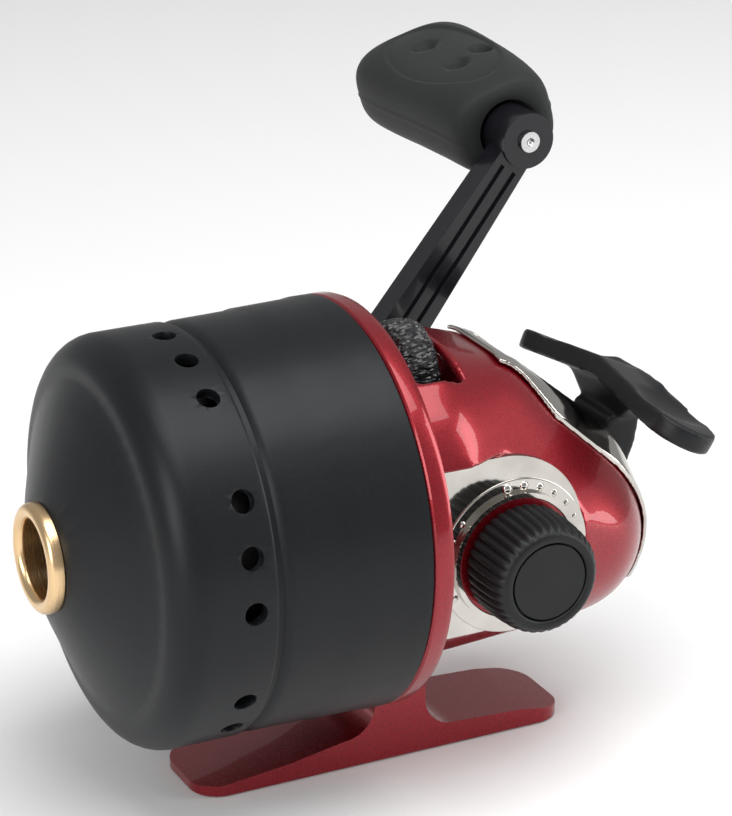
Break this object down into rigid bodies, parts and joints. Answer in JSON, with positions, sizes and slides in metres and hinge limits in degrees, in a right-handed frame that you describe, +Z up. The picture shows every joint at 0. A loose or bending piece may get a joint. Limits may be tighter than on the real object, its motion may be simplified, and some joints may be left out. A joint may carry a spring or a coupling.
{
  "type": "spincast fishing reel",
  "caption": "Closed-face fishing reel with a vented black front cover, red body on a seat foot, side crank with paddle grip, thumb lever, side dial and knurled wheel.",
  "frame": {"origin": "centre of the foot's flat underside", "axes": "+Z up from the foot to the reel's main axis, -Y towards the nose that the line leaves by, +X the dial side, -X the crank side"},
  "size_m": [0.1095, 0.1113, 0.0901],
  "materials": {
    "red_paint": "glossy candy red metallic",
    "chrome_trim": "bright plated",
    "cover_black": "satin black paint",
    "nose_gold": "satin gold",
    "steel": "machined",
    "gear_brass": "machined",
    "aluminium": "turned, clear",
    "black_plastic": "satin moulded",
    "gloss_black": "gloss black",
    "rubber": "matte soft rubber",
    "felt": "pressed felt"
  },
  "bodies": {
    "reel_body": {"body_frame": "red_paint", "rear_housing": "red_paint", "left_side_plate": "chrome_trim", "right_side_plate": "chrome_trim", "thumb_shield": "chrome_trim", "cover_gasket": "rubber", "housing_screws": "steel", "spool_post": "aluminium", "spool_clip": "steel", "drag_washers": "felt", "drag_shoe": "black_plastic", "pinion_bearing": "steel", "crank_bearing_left": "steel", "crank_bearing_right": "steel", "roller_clutch": "steel", "crank_bushing": "black_plastic", "lever_pivot_pin": "steel", "drag_wheel_spindle": "steel", "dial_trim_ring": "red_paint"},
    "cover": {"front_cover": "cover_black", "nose_ring": "nose_gold"},
    "spool": {"spool": "aluminium"},
    "pinion": {"pinion": "gear_brass"},
    "spinner": {"centre_shaft": "steel", "shaft_button": "black_plastic", "shaft_spring": "steel", "spinner_head": "aluminium", "head_nut": "gear_brass", "brake_ring": "rubber"},
    "left_pin": {"pickup_pin_left": "steel"},
    "right_pin": {"pickup_pin_right": "steel"},
    "crank": {"crank_shaft": "steel", "drive_gear": "gear_brass", "crank_clip": "steel", "handle_collar": "gloss_black", "handle_arm": "gloss_black", "handle_nut": "steel", "grip_pin": "steel"},
    "grip": {"grip": "rubber"},
    "lever": {"thumb_lever": "black_plastic"},
    "dial": {"dial_knob": "black_plastic", "dial_cap": "black_plastic", "dial_spindle": "steel"},
    "drag_wheel": {"drag_wheel": "black_plastic"}
  },
  "joints": [
    {"name": "cover_removal", "type": "slide", "parent": "reel_body", "child": "cover", "axis": [0, -1, 0], "range_m": [0, 0.06]},
    {"name": "crank_turn", "type": "hinge", "parent": "reel_body", "child": "crank", "pos_m": [0, 0.014, 0.036], "axis": [1, 0, 0], "continuous": true},
    {"name": "grip_spin", "type": "hinge", "parent": "crank", "child": "grip", "pos_m": [-0.05, 0.04701, 0.07949], "axis": [1, 0, 0], "continuous": true},
    {"name": "pinion_spin", "type": "hinge", "parent": "reel_body", "child": "pinion", "pos_m": [0, 0, 0.0405], "axis": [0, 1, 0], "continuous": true},
    {"name": "spinner_slide", "type": "slide", "parent": "pinion", "child": "spinner", "axis": [0, -1, 0], "range_m": [0, 0.00255], "deforming": ["shaft_spring"]},
    {"name": "left_pin_draw", "type": "slide", "parent": "spinner", "child": "left_pin", "axis": [-1, 0, 0], "range_m": [0, 0.0021]},
    {"name": "right_pin_draw", "type": "slide", "parent": "spinner", "child": "right_pin", "axis": [1, 0, 0], "range_m": [0, 0.0021]},
    {"name": "spool_slip", "type": "hinge", "parent": "reel_body", "child": "spool", "pos_m": [0, -0.015, 0.0405], "axis": [0, 1, 0], "continuous": true},
    {"name": "lever_press", "type": "hinge", "parent": "reel_body", "child": "lever", "pos_m": [0, 0.033, 0.026], "axis": [1, 0, 0], "range_deg": [0, 10], "stiffness_Nm_per_rad": 1.2, "springref_deg": -8.59},
    {"name": "dial_turn", "type": "hinge", "parent": "reel_body", "child": "dial", "pos_m": [0.027, 0.014, 0.036], "axis": [1, 0, 0], "range_deg": [-120, 120]},
    {"name": "drag_wheel_turn", "type": "hinge", "parent": "reel_body", "child": "drag_wheel", "pos_m": [0, 0.0056, 0.0592], "axis": [0, 1, 0], "range_deg": [-150, 150]}
  ],
  "couplings": [
    {"joint": "pinion_spin", "follows": "crank_turn", "ratio": 4},
    {"joint": "spinner_slide", "follows": "lever_press", "m_per_rad": 0.0145},
    {"joint": "left_pin_draw", "follows": "lever_press", "m_per_rad": 0.0105},
    {"joint": "right_pin_draw", "follows": "lever_press", "m_per_rad": 0.0105}
  ]
}
